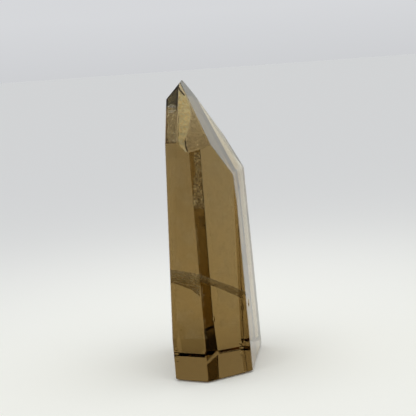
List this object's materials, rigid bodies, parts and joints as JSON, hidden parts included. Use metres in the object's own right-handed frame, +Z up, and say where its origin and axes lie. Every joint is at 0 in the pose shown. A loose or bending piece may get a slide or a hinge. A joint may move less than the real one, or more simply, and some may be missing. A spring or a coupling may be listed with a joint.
{
  "type": "polished smoky quartz point",
  "caption": "Free-standing polished smoky quartz point: a see-through brown crystal column with broad sides, ground to a steep faceted tip, on a flat cut base.",
  "frame": {"origin": "middle of the flat base, on the surface that the stone stands on", "axes": "+Z up along the column, -Y toward the front edge of the column, +X to the right seen from the front"},
  "size_m": [0.0298, 0.0585, 0.0953],
  "materials": {
    "smoky_quartz": "polished, clear smoky brown"
  },
  "bodies": {
    "root": {"smoky_quartz_point": "smoky_quartz"}
  },
  "joints": []
}
